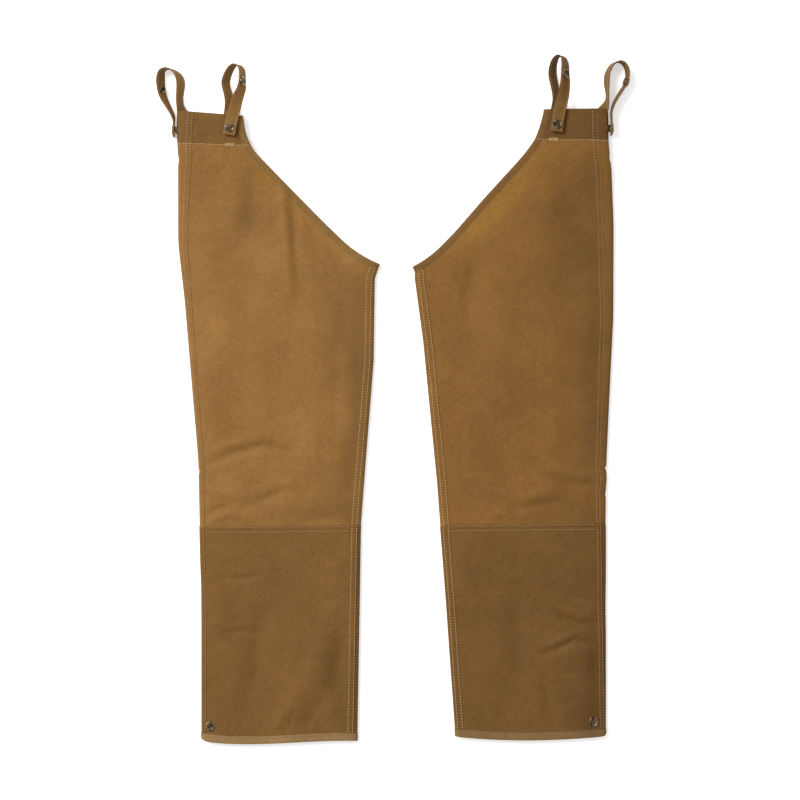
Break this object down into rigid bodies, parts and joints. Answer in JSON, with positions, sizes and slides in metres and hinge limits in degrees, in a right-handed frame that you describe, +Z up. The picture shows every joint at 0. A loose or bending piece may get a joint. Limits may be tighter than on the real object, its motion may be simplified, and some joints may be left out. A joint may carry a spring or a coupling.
{
  "type": "leg chaps",
  "caption": "Pair of separate waxed-canvas work leg chaps lying flat, with doubled shins, bound edges and belt loops that snap shut.",
  "frame": {"origin": "bottom centre of the box round the whole pair as it lies flat", "axes": "+X across the pair, +Y from the hems to the waist, +Z up from the surface it lies on"},
  "size_m": [0.7576, 1.1015, 0.0307],
  "materials": {
    "canvas": "waxed tightly woven cotton canvas, golden brown",
    "overlay_canvas": "second layer of waxed cotton canvas, darker brown",
    "facing_canvas": "waxed cotton canvas facing",
    "binding_tape": "cotton bias tape, lighter tan",
    "strap_canvas": "folded and stitched waxed canvas strap",
    "snap_brass": "antique brass, darkened, with rubbed rims"
  },
  "bodies": {
    "left_thigh": {"left_front_panel_thigh": "canvas", "left_back_panel_thigh": "canvas", "left_front_waist_facing": "facing_canvas", "left_back_waist_facing": "facing_canvas", "left_top_binding": "binding_tape", "left_front_loop_strap": "strap_canvas", "left_rear_loop_strap": "strap_canvas", "left_front_stud": "snap_brass", "left_front_stud_post": "snap_brass", "left_rear_stud": "snap_brass", "left_rear_stud_post": "snap_brass"},
    "left_shin": {"left_front_panel_shin": "canvas", "left_shin_overlay": "overlay_canvas", "left_back_panel_shin": "canvas", "left_hem_binding": "binding_tape", "left_hem_cap": "snap_brass", "left_hem_socket": "snap_brass", "left_hem_stud": "snap_brass", "left_hem_stud_post": "snap_brass"},
    "left_front_tab": {"left_front_tab_strap": "strap_canvas", "left_front_tab_end_cap": "snap_brass", "left_front_tab_end_socket": "snap_brass", "left_front_tab_upper_cap": "snap_brass", "left_front_tab_upper_socket": "snap_brass"},
    "left_rear_tab": {"left_rear_tab_strap": "strap_canvas", "left_rear_tab_end_cap": "snap_brass", "left_rear_tab_end_socket": "snap_brass", "left_rear_tab_upper_cap": "snap_brass", "left_rear_tab_upper_socket": "snap_brass"},
    "right_thigh": {"right_front_panel_thigh": "canvas", "right_back_panel_thigh": "canvas", "right_front_waist_facing": "facing_canvas", "right_back_waist_facing": "facing_canvas", "right_top_binding": "binding_tape", "right_front_loop_strap": "strap_canvas", "right_rear_loop_strap": "strap_canvas", "right_front_stud": "snap_brass", "right_front_stud_post": "snap_brass", "right_rear_stud": "snap_brass", "right_rear_stud_post": "snap_brass"},
    "right_shin": {"right_front_panel_shin": "canvas", "right_shin_overlay": "overlay_canvas", "right_back_panel_shin": "canvas", "right_hem_binding": "binding_tape", "right_hem_cap": "snap_brass", "right_hem_socket": "snap_brass", "right_hem_stud": "snap_brass", "right_hem_stud_post": "snap_brass"},
    "right_front_tab": {"right_front_tab_strap": "strap_canvas", "right_front_tab_end_cap": "snap_brass", "right_front_tab_end_socket": "snap_brass", "right_front_tab_upper_cap": "snap_brass", "right_front_tab_upper_socket": "snap_brass"},
    "right_rear_tab": {"right_rear_tab_strap": "strap_canvas", "right_rear_tab_end_cap": "snap_brass", "right_rear_tab_end_socket": "snap_brass", "right_rear_tab_upper_cap": "snap_brass", "right_rear_tab_upper_socket": "snap_brass"}
  },
  "joints": [
    {"name": "right_leg_apart", "type": "slide", "parent": "left_thigh", "child": "right_thigh", "axis": [1, 0, 0], "range_m": [0, 0.2]},
    {"name": "left_knee_fold", "type": "hinge", "parent": "left_thigh", "child": "left_shin", "pos_m": [-0.181, -0.203, 0.0136], "axis": [-1, 0, 0], "range_deg": [0, 180]},
    {"name": "right_knee_fold", "type": "hinge", "parent": "right_thigh", "child": "right_shin", "pos_m": [0.208, -0.203, 0.0136], "axis": [-1, 0, 0], "range_deg": [0, 180]},
    {"name": "left_front_tab_open", "type": "hinge", "parent": "left_thigh", "child": "left_front_tab", "pos_m": [-0.25, 0.533, 0.017], "axis": [-1, 0, 0], "range_deg": [0, 110]},
    {"name": "right_front_tab_open", "type": "hinge", "parent": "right_thigh", "child": "right_front_tab", "pos_m": [0.268, 0.5472, 0.017], "axis": [-1, 0, 0], "range_deg": [0, 110]},
    {"name": "left_rear_tab_open", "type": "hinge", "parent": "left_thigh", "child": "left_rear_tab", "pos_m": [-0.36, 0.5285, 0.0108], "axis": [0, 0, -1], "range_deg": [0, 110]},
    {"name": "right_rear_tab_open", "type": "hinge", "parent": "right_thigh", "child": "right_rear_tab", "pos_m": [0.3615, 0.5404, 0.0108], "axis": [0, 0, 1], "range_deg": [0, 110]}
  ]
}
